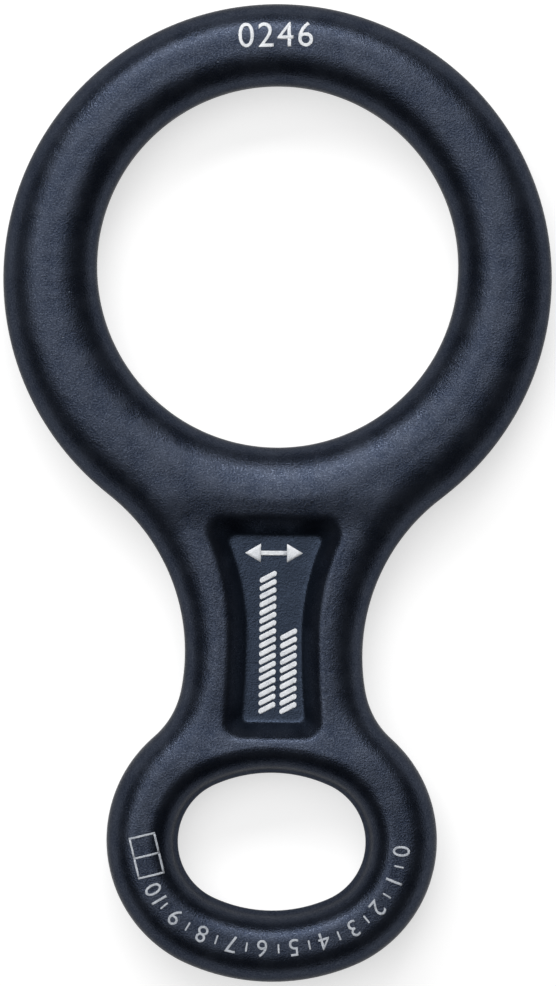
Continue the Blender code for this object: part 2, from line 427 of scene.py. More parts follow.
@dataclass(frozen=True)
class Recess:
    """The hourglass recess in each face of the neck."""

    top: float = 32.5 * MM
    length: float = 31.7 * MM
    waist_half_width: float = 6.8 * MM
    waist_drop: float = 16.7 * MM
    upper_radius: float = 30.0 * MM
    lower_radius: float = 130.0 * MM
    corner_radius: float = 2.6 * MM
    floor_corner_radius: float = 0.7 * MM
    floor_thickness: float = 5.2 * MM
    wall_angle: float = math.radians(52)
    brim_fillet: float = 1.4 * MM
    floor_fillet: float = 0.9 * MM

    def wall(self, depth: float, faces: int) -> list[tuple[float, float]]:
        """Draws the wall in section: the brim's fillet, a slope and the floor's fillet.

        Args:
            depth: How deep the floor is.
            faces: How many faces each fillet is cut into.

        Returns:
            Pairs of how far in and how far down each corner of the section is.
        """
        drop = (self.brim_fillet + self.floor_fillet) * (1 - math.cos(self.wall_angle))
        slope = (depth - drop) / math.tan(self.wall_angle)
        width = slope + (self.brim_fillet + self.floor_fillet) * math.sin(self.wall_angle)
        brim, floor = [], []
        for turn in evenly(0, self.wall_angle, faces):
            across, down = math.sin(turn), 1 - math.cos(turn)
            brim.append((self.brim_fillet * across, self.brim_fillet * down))
            floor.append((width - self.floor_fillet * across, depth - self.floor_fillet * down))
        return brim + floor[::-1]

    def line(self, ring_centre: Vector, inset: float, corner: float, cut: Fineness) -> Line:
        """Draws the right half of the recess's outline.

        Args:
            ring_centre: The rope ring's centre, which the recess is placed from.
            inset: How far the outline is moved in.
            corner: The radius of its corners.
            cut: How finely it is cut.

        Returns:
            The points from the middle of the top to the middle of the bottom.
        """
        top = ring_centre.y - self.top - inset
        bottom = ring_centre.y - self.top - self.length + inset
        waist = ring_centre.y - self.top - self.waist_drop
        sides, corners, turns = [], [], []
        for radius, level in ((self.upper_radius, top - corner), (self.lower_radius, bottom + corner)):
            centre = Vector((self.waist_half_width + radius, waist))
            reach = math.sqrt((radius + inset + corner) ** 2 - (level - waist) ** 2)
            corners.append(Vector((centre.x - reach, level)))
            sides.append((centre, radius + inset))
            turns.append(angle_of(corners[-1] - centre) % math.tau)
        return chain(
            straight(Vector((0, top)), Vector((corners[0].x, top)), cut.rope_end),
            arc(corners[0], corner, UP, turns[0] - math.pi, cut.crest),
            arc(*sides[0], turns[0], math.pi, cut.neck // 2),
            arc(*sides[1], math.pi, turns[1], cut.neck - cut.neck // 2),
            arc(corners[1], corner, turns[1] - math.pi, DOWN, cut.crest),
            straight(Vector((corners[1].x, bottom)), Vector((0, bottom)), cut.eye_end),
        )


@dataclass
class Forging:
    """The one-piece body: rope ring, neck and eye ring, with the recess in each face of the neck."""

    ring_radius: float = 38.0 * MM
    hole_radius: float = 25.0 * MM
    hole_rise: float = 1.6 * MM
    centres: float = 77.75 * MM
    shoulder_radius: float = 27.5 * MM
    neck_radius: float = 11.2 * MM
    neck_half_width: float = 12.3 * MM
    eye_ring_half_width: float = 22.9 * MM
    eye_ring_drop: float = 19.65 * MM
    eye_ring_side_radius: float = 18.8 * MM
    eye_half_width: float = 12.9 * MM
    eye_half_height: float = 9.45 * MM
    eye_side_radius: float = 8.5 * MM
    eye_sink: float = 0.25 * MM
    thickness: float = 12.0 * MM
    neck_thickness: float = 10.8 * MM
    ring_level: float = 29.5 * MM
    ring_slope: float = 5.5 * MM
    eye_level: float = 10.0 * MM
    eye_slope: float = 8.0 * MM
    land: float = 0.5 * MM
    eye_ledge: float = 0.7 * MM
    eye_ledge_rise: float = 0.3 * MM
    crest_flat: float = 2.0 * MM
    rail_width: float = 4.9 * MM
    rope_lip: float = 7.2 * MM
    eye_lip: float = 3.9 * MM
    shoulder_split: float = 0.30
    heel_split: float = 0.90
    rope_lip_split: float = 0.50
    eye_lip_split: float = 0.60
    recess: Recess = field(default_factory=Recess)
    cut: Fineness = field(default_factory=Fineness)

    def __post_init__(self) -> None:
        """Works out the centres that follow from the sizes."""
        length = self.ring_radius + self.centres + self.eye_ring_drop
        self.ring_centre = Vector((0, length / 2 - self.ring_radius))
        self.hole_centre = self.ring_centre + Vector((0, self.hole_rise))
        ring_below = self.ring_centre - Vector((0, self.centres))
        self.eye_ring = Oval(
            ring_below, self.eye_ring_half_width, self.eye_ring_drop, self.eye_ring_side_radius
        )
        eye_centre = ring_below - Vector((0, self.eye_sink))
        self.eye = Oval(eye_centre, self.eye_half_width, self.eye_half_height, self.eye_side_radius)
        across = self.neck_half_width + self.shoulder_radius
        drop = math.sqrt((self.ring_radius + self.shoulder_radius) ** 2 - across**2)
        self.shoulder_centre = self.ring_centre + Vector((across, -drop))
        side_centre = ring_below + Vector((self.eye_ring_half_width - self.eye_ring_side_radius, 0))
        self.neck_centre = circles_meet(
            side_centre,
            self.neck_radius + self.eye_ring_side_radius,
            self.shoulder_centre,
            self.shoulder_radius - self.neck_radius,
        )
        self.ring_leaves = angle_of(self.shoulder_centre - self.ring_centre)
        self.neck_begins = angle_of(self.neck_centre - self.shoulder_centre) % math.tau
        self.eye_begins = angle_of(self.neck_centre - side_centre)

    def ring_lines(self) -> tuple[Line, Line, Line, Line]:
        """Draws the rope ring from the top to the neck.

        Returns:
            Its outline, the outer and inner edge of its crest, and its hole.
        """
        outline, outer, inner, hole = [], [], [], []
        for angle in evenly(UP, self.ring_leaves, self.cut.ring):
            way = direction(angle)
            reach = self.hole_rise * way.y + math.sqrt(self.hole_radius**2 - (self.hole_rise * way.x) ** 2)
            middle = (self.ring_radius + reach) / 2
            outline.append(self.ring_centre + self.ring_radius * way)
            outer.append(self.ring_centre + (middle + self.crest_flat / 2) * way)
            inner.append(self.ring_centre + (middle - self.crest_flat / 2) * way)
            hole.append(self.ring_centre + reach * way)
        return outline, outer, inner, hole

    def eye_ring_lines(self) -> tuple[Line, Line, Line, Line]:
        """Draws the eye ring from the neck to the bottom.

        Returns:
            Its outline, the outer and inner edge of its crest, and its eye.
        """
        outline, outer, inner, hole = [], [], [], []
        for angle in evenly(self.eye_begins, DOWN, self.cut.eye):
            outside, inside = self.eye_ring.point(angle), self.eye.point(angle)
            middle = (outside + inside) / 2
            half_flat = (inside - outside).normalized() * self.crest_flat / 2
            outline.append(outside)
            outer.append(middle - half_flat)
            inner.append(middle + half_flat)
            hole.append(inside)
        return outline, outer, inner, hole

    def neck_place(self, share: float) -> tuple[Vector, Vector]:
        """Finds a place on the neck's outline.

        Args:
            share: How far along the outline it is, from the rope ring to the eye ring.

        Returns:
            The point, and the direction into the material.
        """
        shoulder_turn = self.neck_begins - self.ring_leaves - math.pi
        neck_turn = self.eye_begins + math.pi - self.neck_begins
        shoulder_length = shoulder_turn * self.shoulder_radius
        run = share * (shoulder_length + neck_turn * self.neck_radius)
        if run < shoulder_length:
            inwards = direction(self.ring_leaves + math.pi + run / self.shoulder_radius)
            return self.shoulder_centre + self.shoulder_radius * inwards, inwards
        inwards = direction(self.neck_begins + (run - shoulder_length) / self.neck_radius)
        return self.neck_centre + self.neck_radius * inwards, inwards

    def neck_lines(self, ring_crest: Vector, eye_crest: Vector) -> tuple[Line, Line]:
        """Draws the neck's outline and the top of its rail.

        Args:
            ring_crest: Where the rail runs into the rope ring's outer crest.
            eye_crest: Where it runs into the eye ring's outer crest.

        Returns:
            The outline and the rail.
        """
        ends = []
        for share, crest_point in ((0, ring_crest), (1, eye_crest)):
            place, inwards = self.neck_place(share)
            gap = crest_point - place
            ends.append(Vector((gap.dot(inwards), gap.cross(inwards))))
        outline, rail = [], []
        shares = chain(
            evenly(0, self.shoulder_split, self.cut.shoulder),
            evenly(self.shoulder_split, self.heel_split, self.cut.neck),
            evenly(self.heel_split, 1, self.cut.heel),
        )
        for share in shares:
            place, inwards = self.neck_place(share)
            leaving = 1 - ease(share / 0.55)
            arriving = ease((share - 0.55) / 0.45)
            offset = Vector((self.rail_width, 0)) * (1 - leaving - arriving)
            offset += ends[0] * leaving + ends[1] * arriving
            outline.append(place)
            rail.append(place + offset.x * inwards + offset.y * Vector((inwards.y, -inwards.x)))
        return outline, rail

    def rope_lip_lines(self, start: Vector) -> tuple[Line, Line]:
        """Draws the lip beside the rope hole, from the shoulder to the middle of the neck.

        Args:
            start: Where the lip's crest leaves the rope ring's inner crest.

        Returns:
            The lip's crest and the hole's edge.
        """
        crest, hole = [], []
        start_angle = angle_of(start - self.hole_centre)
        start_lip = (start - self.hole_centre).length - self.hole_radius
        shares = chain(
            evenly(0, self.rope_lip_split, self.cut.shoulder),
            evenly(self.rope_lip_split, 1, self.cut.rope_end),
        )
        for share in shares:
            way = direction(start_angle + (DOWN - start_angle) * share)
            lip = start_lip + (self.rope_lip - start_lip) * ease(share)
            crest.append(self.hole_centre + (self.hole_radius + lip) * way)
            hole.append(self.hole_centre + self.hole_radius * way)
        return crest, hole

    def eye_lip_lines(self, end: Vector, end_edge: Vector) -> tuple[Line, Line]:
        """Draws the lip beside the eye, from the middle of the neck to the heel.

        Args:
            end: Where the lip's crest runs into the eye ring's inner crest.
            end_edge: The point of the eye's edge beside it.

        Returns:
            The lip's crest and the eye's edge.
        """
        crest, edge = [], []
        end_lip = (end - end_edge).length
        lean = angle_of(end - end_edge) - self.eye_begins
        shares = chain(
            evenly(0, self.eye_lip_split, self.cut.eye_end),
            evenly(self.eye_lip_split, 1, self.cut.heel),
        )
        for share in shares:
            angle = UP + (self.eye_begins - UP) * share
            lip = self.eye_lip + (end_lip - self.eye_lip) * ease(share)
            edge.append(self.eye.point(angle))
            crest.append(edge[-1] + lip * direction(angle + lean * ease(share)))
        return crest, edge

    def flank(self, edge: Line, crest: Line, step: float = 0.0, rise: float = 0.0) -> list[Row]:
        """Lays rows from a parting-line edge to the crest beside it.

        Args:
            edge: The edge.
            crest: The crest, matched to it point by point.
            step: The width of the step around the edge.
            rise: The height of that step.

        Returns:
            The rows, from the edge to the crest.
        """
        rows = [[PlanPoint(p, p, 0, 0) for p in edge]]
        if step:
            rows.append([PlanPoint(p, p, 0) for p in edge])
        foot = [p + (q - p).normalized() * step for p, q in zip(edge, crest)]
        for turn in evenly(0, UP, self.cut.flank):
            rows.append([PlanPoint(p, q, turn, ledge=rise) for p, q in zip(foot, crest)])
        return rows

    def shelf(self, start: Line, end: Line, faces: int) -> list[Row]:
        """Lays rows across level ground between two lines.

        Args:
            start: The first line.
            end: The last line, matched to it point by point.
            faces: How many faces lie between them.

        Returns:
            The rows.
        """
        rows = []
        for share in evenly(0, 1, faces):
            places = [p.lerp(q, share) for p, q in zip(start, end)]
            rows.append([PlanPoint(p, p) for p in places])
        return rows

    def recess_rows(self) -> list[Row]:
        """Lays rows from the recess's brim down its wall to the edge of its floor.

        Returns:
            The rows.
        """
        hollow = self.recess
        profile = hollow.wall((self.neck_thickness - hollow.floor_thickness) / 2, self.cut.fillet)
        width, depth = profile[-1]
        rows = []
        for inset, drop in profile:
            tighter = hollow.corner_radius - hollow.floor_corner_radius
            corner = hollow.corner_radius - tighter * inset / width
            line = hollow.line(self.ring_centre, inset, corner, self.cut)
            rows.append([PlanPoint(p, p, sink=drop / depth) for p in line])
        return rows

    def floor_rows(self, edge: Row) -> list[Row]:
        """Lays rows across the recess's floor, from its edge in to a line along its middle.

        Args:
            edge: The last row of the wall.

        Returns:
            The rows.
        """
        top, bottom = edge[0].edge.y, edge[-1].edge.y
        rows = []
        for share in evenly(0, 1, self.cut.shelf):
            row = []
            for point in edge:
                level = min(max(point.edge.y, bottom + 3 * MM), top - 3 * MM)
                spine = Vector((0, level))
                place = point.edge.lerp(spine, share)
                row.append(PlanPoint(place, place, sink=1.0))
            rows.append(row)
        return rows

    def strips(self) -> list[list[Row]]:
        """Lays out the whole upper right quarter.

        Returns:
            Strips of rows. Neighbouring strips share a row.
        """
        cut = self.cut
        ring_outline, ring_outer, ring_inner, ring_hole = self.ring_lines()
        eye_outline, eye_outer, eye_inner, eye_hole = self.eye_ring_lines()
        neck_outline, rail = self.neck_lines(ring_outer[-1], eye_outer[0])
        rope_crest, rope_edge = self.rope_lip_lines(ring_inner[-1])
        eye_crest, eye_edge = self.eye_lip_lines(eye_inner[0], eye_hole[0])
        shoulder, heel = cut.shoulder, cut.shoulder + cut.neck

        around_recess = chain(
            rope_crest[: shoulder - 1 : -1],
            straight(rope_crest[shoulder], rail[shoulder], cut.crest),
            rail[shoulder : heel + 1],
            straight(rail[heel], eye_crest[cut.eye_end], cut.crest),
            eye_crest[cut.eye_end :: -1],
        )
        wall = self.recess_rows()
        brim = [point.edge for point in wall[0]]
        outline = chain(ring_outline, neck_outline, eye_outline)
        return [
            self.flank(outline, chain(ring_outer, rail, eye_outer)),
            self.flank(chain(ring_hole, rope_edge), chain(ring_inner, rope_crest)),
            self.flank(
                chain(eye_edge, eye_hole), chain(eye_crest, eye_inner), self.eye_ledge, self.eye_ledge_rise
            ),
            self.shelf(
                chain(ring_outer, rail[: shoulder + 1]),
                chain(ring_inner, rope_crest[: shoulder + 1]),
                cut.crest,
            ),
            self.shelf(chain(rail[heel:], eye_outer), chain(eye_crest[cut.eye_end :], eye_inner), cut.crest),
            self.shelf(around_recess, brim, cut.shelf),
            wall,
            self.floor_rows(wall[-1]),
        ]

    def plan(self) -> bpy.types.Mesh:
        """Draws the flat plan of a quarter of the forging.

        Returns:
            A flat mesh that carries what the section tree reads, as point attributes.
        """
        points: Row = []
        faces = []
        for strip in self.strips():
            for number, row in enumerate(strip):
                first = len(points)
                points += row
                if number:
                    last = first - len(row)
                    for step in range(len(row) - 1):
                        corners = (last + step, first + step, first + step + 1, last + step + 1)
                        faces.append(corners)
        mesh = bpy.data.meshes.new("forging_plan")
        mesh.from_pydata([(p.edge.x, p.edge.y, 0) for p in points], [], faces)
        crest = mesh.attributes.new("crest", "FLOAT_VECTOR", "POINT")
        crest.data.foreach_set("vector", [value for p in points for value in (p.crest.x, p.crest.y, 0)])
        for name in ("turn", "land", "ledge", "sink"):
            values = mesh.attributes.new(name, "FLOAT", "POINT")
            values.data.foreach_set("value", [getattr(p, name) for p in points])
        return mesh

    def section_tree(self) -> Tree:
        """Builds the tree that raises the flat plan of a quarter into the whole forging.

        Returns:
            The tree.
        """
        tree = Tree("forged_section", Kind.GEOMETRY)
        plan = tree.takes("Plan", "Geometry")
        thickness = tree.takes("Thickness", "Float", self.thickness)
        neck_thickness = tree.takes("Neck Thickness", "Float", self.neck_thickness)
        floor_thickness = tree.takes("Floor Thickness", "Float", self.recess.floor_thickness)
        land = tree.takes("Land", "Float", self.land)
        ring_level = tree.takes("Ring Level", "Float", self.ring_centre.y - self.ring_level)
        eye_level = tree.takes("Eye Level", "Float", self.eye_ring.centre.y + self.eye_level)
        finish = tree.takes("Finish", "Material")

        edge = tree.node("GeometryNodeInputPosition").outputs[0]
        crest = tree.attribute("crest", "FLOAT_VECTOR")
        turn = tree.attribute("turn")
        climb = tree.math("SINE", turn)
        inwards = tree.math("SUBTRACT", 1.0, tree.math("COSINE", turn))
        way = tree.vector("SUBTRACT", crest, edge)
        scaled = tree.node("ShaderNodeVectorMath", {0: way, "Scale": inwards}, operation="SCALE").outputs[0]
        x, y, _ = tree.split(tree.vector("ADD", edge, scaled))

        crest_y = tree.split(crest)[1]
        below_ring = tree.ramp(tree.math("SUBTRACT", ring_level, crest_y), 0.0, self.ring_slope)
        above_eye = tree.ramp(tree.math("SUBTRACT", crest_y, eye_level), 0.0, self.eye_slope)
        thinning = tree.math("MINIMUM", below_ring, above_eye)
        lost = tree.math("MULTIPLY", tree.math("SUBTRACT", thickness, neck_thickness), thinning)
        height = tree.math("MULTIPLY", tree.math("SUBTRACT", thickness, lost), 0.5)

        base = tree.math("MULTIPLY", land, tree.attribute("land"))
        rise = tree.math("MULTIPLY", tree.math("SUBTRACT", height, base), climb)
        rounded = tree.math("ADD", base, rise)
        left = tree.math("SUBTRACT", 1.0, tree.math("DIVIDE", rounded, height))
        stepped = tree.math("ADD", rounded, tree.math("MULTIPLY", tree.attribute("ledge"), left))
        to_floor = tree.math("SUBTRACT", stepped, tree.math("MULTIPLY", floor_thickness, 0.5))
        z = tree.math("SUBTRACT", stepped, tree.math("MULTIPLY", to_floor, tree.attribute("sink")))

        half = tree.geometry("SetPosition", plan, {"Position": tree.join(x, y, z)})
        for mirror in ((-1, 1, 1), (1, 1, -1)):
            other = tree.geometry("Transform", half, {"Scale": mirror})
            half = tree.merge_geometry(half, other)
        whole = tree.geometry("MergeByDistance", half, {"Distance": 0.002 * MM})
        place = tree.node("GeometryNodeInputPosition").outputs[0]
        softening = {"Value": place, "Iterations": 3, "Weight": 0.6}
        soft = tree.node("GeometryNodeBlurAttribute", softening, data_type="FLOAT_VECTOR")
        tumbled = tree.geometry("SetPosition", whole, {"Position": soft.outputs[0]})
        lift = tree.join(0.0, 0.0, tree.math("MULTIPLY", thickness, 0.5))
        lifted = tree.geometry("Transform", tumbled, {"Translation": lift})
        solid = tree.geometry("RealizeInstances", lifted)
        dressed = tree.geometry("SetMaterial", solid, {"Material": finish})
        tree.gives("Forging", "Geometry", dressed)
        return tree

    def build(self, finish: bpy.types.Material) -> bpy.types.Object:
        """Makes the forging.

        Args:
            finish: Its anodised finish.

        Returns:
            The finished piece, which stands for the CAD node.
        """
        values = {
            "Thickness": self.thickness,
            "Neck Thickness": self.neck_thickness,
            "Floor Thickness": self.recess.floor_thickness,
            "Land": self.land,
            "Finish": finish,
        }
        piece = run_tree(self.section_tree(), "forging", self.plan(), values, finish)
        for name in ("crest", "turn", "land", "ledge"):
            piece.data.attributes.remove(piece.data.attributes[name])
        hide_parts(NODE)
        return piece


Pattern = Callable[[Tree, Socket], Socket]


@dataclass(frozen=True)
class LaserMark:
    """How every laser mark lies on the forging: a skin that is closed below, and sunk into the surface."""

    proud: float = 0.02 * MM
    sunk: float = 0.08 * MM

    def lay_tree(self) -> Tree:
        """Builds the group that lays flat marks on a surface from above and gives them a thickness.

        Returns:
            The group.
        """
        tree = Tree("lay_on_surface", Kind.GEOMETRY)
        flat = tree.takes("Flat Marks", "Geometry")
        surface = tree.takes("Surface", "Object")
        proud = tree.takes("Proud", "Float", self.proud)
        sunk = tree.takes("Sunk", "Float", self.sunk)
        fine = tree.geometry("SubdivideMesh", flat, {"Level": 2})
        target = tree.node("GeometryNodeObjectInfo", {"Object": surface}).outputs["Geometry"]
        x, y, _ = tree.split(tree.node("GeometryNodeInputPosition").outputs[0])
        ray = {"Source Position": tree.join(x, y, 0.1), "Ray Direction": (0, 0, -1), "Ray Length": 1.0}
        hit = tree.node("GeometryNodeRaycast", {0: target, **ray})
        lift = tree.join(0.0, 0.0, proud)
        skin = tree.vector("ADD", hit.outputs["Hit Position"], lift)
        top = tree.geometry("SetPosition", fine, {"Position": skin})
        depth = tree.math("ADD", proud, sunk)
        sides = {"Offset": (0, 0, -1), "Offset Scale": depth, "Individual": False}
        below = tree.geometry("FlipFaces", tree.geometry("ExtrudeMesh", top, sides))
        closed = tree.geometry("MergeByDistance", tree.merge_geometry(top, below), {"Distance": 0.001 * MM})
        tree.gives("Marks", "Geometry", closed)
        return tree

    def marks_tree(self, name: str, lay: Tree, pattern: Pattern | None = None) -> Tree:
        """Builds the tree of one kind of mark.

        Args:
            name: The tree's name.
            lay: The group that lays flat marks on the surface.
            pattern: What draws the flat marks, given the tree and its plan. With none, the plan is laid.

        Returns:
            The tree.
        """
        tree = Tree(name, Kind.GEOMETRY)
        plan = tree.takes("Plan", "Geometry")
        surface = tree.takes("Surface", "Object")
        finish = tree.takes("Finish", "Material")
        flat = pattern(tree, plan) if pattern else plan
        laid = tree.node("GeometryNodeGroup", node_tree=lay.group)
        tree.feed(laid.inputs["Flat Marks"], flat)
        tree.feed(laid.inputs["Surface"], surface)
        solid = tree.geometry("RealizeInstances", laid.outputs[0])
        tree.gives("Marks", "Geometry", tree.geometry("SetMaterial", solid, {"Material": finish}))
        return tree


def numeral_mesh(text: str, height: float, weight: float, spacing: float = 1.0) -> bpy.types.Mesh:
    """Draws plain numerals as a flat mesh centred on the origin.

    Args:
        text: The numerals.
        height: Their height.
        weight: How much their strokes are thickened, as a share of their height.
        spacing: How far apart they stand, as a share of the usual distance.

    Returns:
        The mesh.
    """
    curve = bpy.data.curves.new("numerals", "FONT")
    curve.body = text
    curve.resolution_u = 5
    curve.offset = weight
    curve.space_character = spacing
    writer = bpy.data.objects.new("numerals", curve)
    bpy.context.scene.collection.objects.link(writer)
    bpy.context.view_layer.update()
    mesh = bpy.data.meshes.new_from_object(writer.evaluated_get(bpy.context.evaluated_depsgraph_get()))
    bpy.data.objects.remove(writer)
    corners = [vertex.co for vertex in mesh.vertices]
    low = Vector([min(c[axis] for c in corners) for axis in range(3)])
    high = Vector([max(c[axis] for c in corners) for axis in range(3)])
    mesh.transform(Matrix.Translation(-(low + high) / 2))
    mesh.transform(Matrix.Scale(height / (high.y - low.y), 4))
    return mesh


@dataclass
class FlatArtwork:
    """Flat shapes gathered into one plan, before they are laid on the surface."""

    shapes: bmesh.types.BMesh = field(default_factory=bmesh.new)

    def add(self, mesh: bpy.types.Mesh, place: Vector, turn: float = 0.0) -> None:
        """Adds a mesh, turned about the origin and then moved to its place.

        Args:
            mesh: A flat mesh.
            place: Where its middle goes.
            turn: How far it is turned.
        """
        mesh.transform(Matrix.Translation((place.x, place.y, 0)) @ Matrix.Rotation(turn, 4, "Z"))
        self.shapes.from_mesh(mesh)

    def polygon(self, corners: Iterable[tuple[float, float]], place: Vector, turn: float = 0.0) -> None:
        """Adds a filled polygon, whose corners are in millimetres about its own middle.

        Args:
            corners: The corners.
            place: Where the middle goes.
            turn: How far it is turned.
        """
        turned = Matrix.Rotation(turn, 2)
        points = [place + turned @ (Vector(corner) * MM) for corner in corners]
        face = self.shapes.faces.new([self.shapes.verts.new((p.x, p.y, 0)) for p in points])
        face.normal_update()
        if face.normal.z < 0:
            face.normal_flip()

    def mesh(self, name: str) -> bpy.types.Mesh:
        """Returns the plan as a mesh of triangles.

        Args:
            name: The mesh's name.

        Returns:
            The mesh.
        """
        bmesh.ops.triangulate(self.shapes, faces=self.shapes.faces)
        made = bpy.data.meshes.new(name)
        self.shapes.to_mesh(made)
        self.shapes.free()
        return made


@dataclass
class RingNumber:
    """The plain numerals at the top of the rope ring."""

    text: str = "0246"
    middle: Vector = field(default_factory=lambda: Vector((-0.6 * MM, 63.05 * MM)))
    height: float = 3.4 * MM
    turn: float = math.radians(1.4)
    weight: float = 0.0
    spacing: float = 1.12

    def plan(self) -> bpy.types.Mesh:
        """Draws the numerals flat.

        Returns:
            The flat mesh.
        """
        artwork = FlatArtwork()
        artwork.add(numeral_mesh(self.text, self.height, self.weight, self.spacing), self.middle, self.turn)
        return artwork.mesh("ring_number_plan")


@dataclass
class LoadArrow:
    """The plain double-headed arrow at the top of the recess."""

    middle: Vector = field(default_factory=lambda: Vector((-0.1 * MM, -8.3 * MM)))
    length: float = 8.0
    head: float = 2.2
    breadth: float = 2.6
    stroke: float = 0.62

    def plan(self) -> bpy.types.Mesh:
        """Draws the arrow flat, as a bar and two heads.

        Returns:
            The flat mesh.
        """
        artwork = FlatArtwork()
        tip, neck, half = self.length / 2, self.length / 2 - self.head, self.stroke / 2
        for side in (-1, 1):
            head = [(side * tip, 0), (side * neck, self.breadth / 2), (side * neck, -self.breadth / 2)]
            artwork.polygon(head, self.middle)
        bar = [(-neck - 0.01, -half), (neck + 0.01, -half), (neck + 0.01, half), (-neck - 0.01, half)]
        artwork.polygon(bar, self.middle)
        return artwork.mesh("load_arrow_plan")


@dataclass
class RopeSign:
    """Two lengths of laid rope drawn side by side in the recess, each a stack of slanted strands."""

    top: Vector = field(default_factory=lambda: Vector((-0.85 * MM, -11.6 * MM)))
    column_gap: float = 2.9 * MM
    strand_pitch: float = 1.13 * MM
    strand_width: float = 2.35 * MM
    strand_height: float = 0.78 * MM
    strand_slant: float = 0.62
    long_count: int = 17
    short_count: int = 10

    def plan(self) -> bpy.types.Mesh:
        """Places one point for each strand.

        Returns:
            The flat mesh.
        """
        last = self.top.y - (self.long_count - 1) * self.strand_pitch
        points = []
        for column, count in enumerate((self.long_count, self.short_count)):
            for step in range(count):
                points.append((self.top.x + column * self.column_gap, last + step * self.strand_pitch, 0))
        mesh = bpy.data.meshes.new("rope_sign_plan")
        mesh.from_pydata(points, [], [])
        return mesh

    def pattern(self, tree: Tree, plan: Socket) -> Socket:
        """Draws a slanted strand with rounded ends at each point of the plan.

        Args:
            tree: The tree that it is drawn in.
            plan: The points.

        Returns:
            The flat marks.
        """
        width = tree.takes("Strand Width", "Float", self.strand_width)
        height = tree.takes("Strand Height", "Float", self.strand_height)
        slant = tree.takes("Strand Slant", "Float", self.strand_slant)
        bar = tree.node("GeometryNodeCurvePrimitiveQuadrilateral", mode="RECTANGLE")
        tree.feed(bar.inputs["Width"], width)
        tree.feed(bar.inputs["Height"], height)
        radius = tree.math("MULTIPLY", height, 0.49)
        corners = {"Curve": bar.outputs[0], "Radius": radius}
        rounded = tree.node("GeometryNodeFilletCurve", corners, mode="POLY")
        rounded.inputs["Count"].default_value = 5
        strand = tree.node("GeometryNodeFillCurve", {0: rounded.outputs[0]}, mode="TRIANGLES").outputs[0]
        x, y, _ = tree.split(tree.node("GeometryNodeInputPosition").outputs[0])
        across = tree.math("DIVIDE", x, width)
        sway = tree.math("SINE", tree.math("MULTIPLY", across, math.pi))
        lifted = tree.math("ADD", y, tree.math("MULTIPLY", tree.math("MULTIPLY", sway, height), slant))
        curved = tree.geometry("SetPosition", strand, {"Position": tree.join(x, lifted, 0.0)})
        stack = tree.node("GeometryNodeInstanceOnPoints", {"Points": plan, "Instance": curved})
        return tree.geometry("RealizeInstances", stack.outputs[0])


@dataclass
class EyeDial:
    """A dial around the eye ring: plain numerals along its crest, with a tick between each two."""

    forging: Forging
    numerals: tuple[str, ...] = ("0", "1", "2", "3", "4", "5", "6", "7", "8", "9", "10")
    start: float = math.radians(-4)
    end: float = math.radians(-149)
    height: float = 2.35 * MM
    weight: float = 0.0
    tick_length: float = 1.3 * MM
    tick_width: float = 0.24 * MM

    def place(self, angle: float) -> tuple[Vector, Vector]:
        """Finds a place on the crest of the eye ring.

        Args:
            angle: The direction that the ring faces there, clockwise past the bottom onto its left half.

        Returns:
            The point, and the outward direction.
        """
        mirrored = angle < DOWN
        right = -math.pi - angle if mirrored else angle
        outside, inside = self.forging.eye_ring.point(right), self.forging.eye.point(right)
        middle, outwards = (outside + inside) / 2, (outside - inside).normalized()
        if mirrored:
            middle.x, outwards.x = -middle.x, -outwards.x
        return middle, outwards

    def places(self) -> list[tuple[Vector, Vector]]:
        """Spaces the numerals and ticks evenly along the crest.

        Returns:
            The places in turn, first a numeral's and then a tick's, each with its outward direction.
        """
        fine = [self.place(angle) for angle in evenly(self.start, self.end, 400)]
        run = [0.0]
        for (before, _), (after, _) in zip(fine, fine[1:]):
            run.append(run[-1] + (after - before).length)
        wanted = evenly(0.0, run[-1], 2 * len(self.numerals) - 2)
        return [fine[min(range(len(run)), key=lambda step: abs(run[step] - far))] for far in wanted]

    def plan(self) -> bpy.types.Mesh:
        """Draws the numerals flat, with their tops outwards.

        Returns:
            The flat mesh.
        """
        artwork = FlatArtwork()
        for (middle, outwards), text in zip(self.places()[::2], self.numerals):
            artwork.add(numeral_mesh(text, self.height, self.weight), middle, angle_of(outwards) - UP)
        return artwork.mesh("dial_numerals_plan")

    def tick_plan(self) -> bpy.types.Mesh:
        """Places one point for each tick, with the way that it runs as an attribute.

        Returns:
            The points.
        """
        places = self.places()[1::2]
        mesh = bpy.data.meshes.new("dial_ticks_plan")
        mesh.from_pydata([(middle.x, middle.y, 0) for middle, _ in places], [], [])
        turns = mesh.attributes.new("turn", "FLOAT", "POINT")
        turns.data.foreach_set("value", [angle_of(outwards) for _, outwards in places])
        return mesh

    def pattern(self, tree: Tree, plan: Socket) -> Socket:
        """Draws a tick with rounded ends at each point of the plan, along its direction.

        Args:
            tree: The tree that it is drawn in.
            plan: The points.

        Returns:
            The flat marks.
        """
        length = tree.takes("Tick Length", "Float", self.tick_length)
        width = tree.takes("Tick Width", "Float", self.tick_width)
        bar = tree.node("GeometryNodeCurvePrimitiveQuadrilateral", mode="RECTANGLE")
        tree.feed(bar.inputs["Width"], length)
        tree.feed(bar.inputs["Height"], width)
        radius = tree.math("MULTIPLY", width, 0.49)
        corners = {"Curve": bar.outputs[0], "Radius": radius}
        rounded = tree.node("GeometryNodeFilletCurve", corners, mode="POLY")
        rounded.inputs["Count"].default_value = 4
        tick = tree.node("GeometryNodeFillCurve", {0: rounded.outputs[0]}, mode="TRIANGLES").outputs[0]
        turn = tree.join(0.0, 0.0, tree.attribute("turn"))
        placing = {"Points": plan, "Instance": tick, "Rotation": turn}
        stack = tree.node("GeometryNodeInstanceOnPoints", placing)
        return tree.geometry("RealizeInstances", stack.outputs[0])


